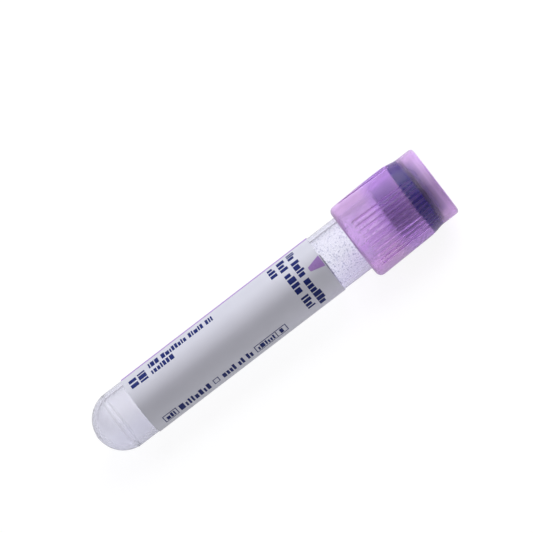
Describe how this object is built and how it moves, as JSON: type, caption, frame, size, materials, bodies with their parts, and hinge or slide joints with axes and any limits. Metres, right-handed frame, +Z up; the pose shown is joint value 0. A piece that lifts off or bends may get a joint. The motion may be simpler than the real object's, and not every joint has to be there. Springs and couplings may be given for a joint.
{
  "type": "blood collection tube",
  "caption": "Evacuated blood collection tube lying on its side: clear round-bottomed tube with a wrapped label, dark rubber stopper and a ribbed translucent lavender pull-off closure.",
  "frame": {"origin": "on the surface the tube lies on, under the middle of its length", "axes": "+X runs level under the tube's axis from the round bottom towards the closure, +Z up; the axis itself rises 1.50 degrees towards the closure, as the tube rests on its label's lower edge and on the flat strip of a grooved side of its skirt"},
  "size_m": [0.0818, 0.0166, 0.016],
  "materials": {
    "clear_plastic": "clear moulded plastic, glossy inside and out",
    "label_film": "white printed film, satin",
    "stopper_rubber": "smooth moulded rubber, matt",
    "cap_plastic": "translucent lavender moulded plastic, softly glossy"
  },
  "bodies": {
    "tube": {"tube_body": "clear_plastic", "label": "label_film"},
    "closure": {"rubber_stopper": "stopper_rubber", "safety_cap": "cap_plastic"}
  },
  "joints": [
    {"name": "closure_pull", "type": "slide", "parent": "tube", "child": "closure", "axis": [0.9997, 0, 0.0262], "range_m": [0, 0.02]}
  ]
}
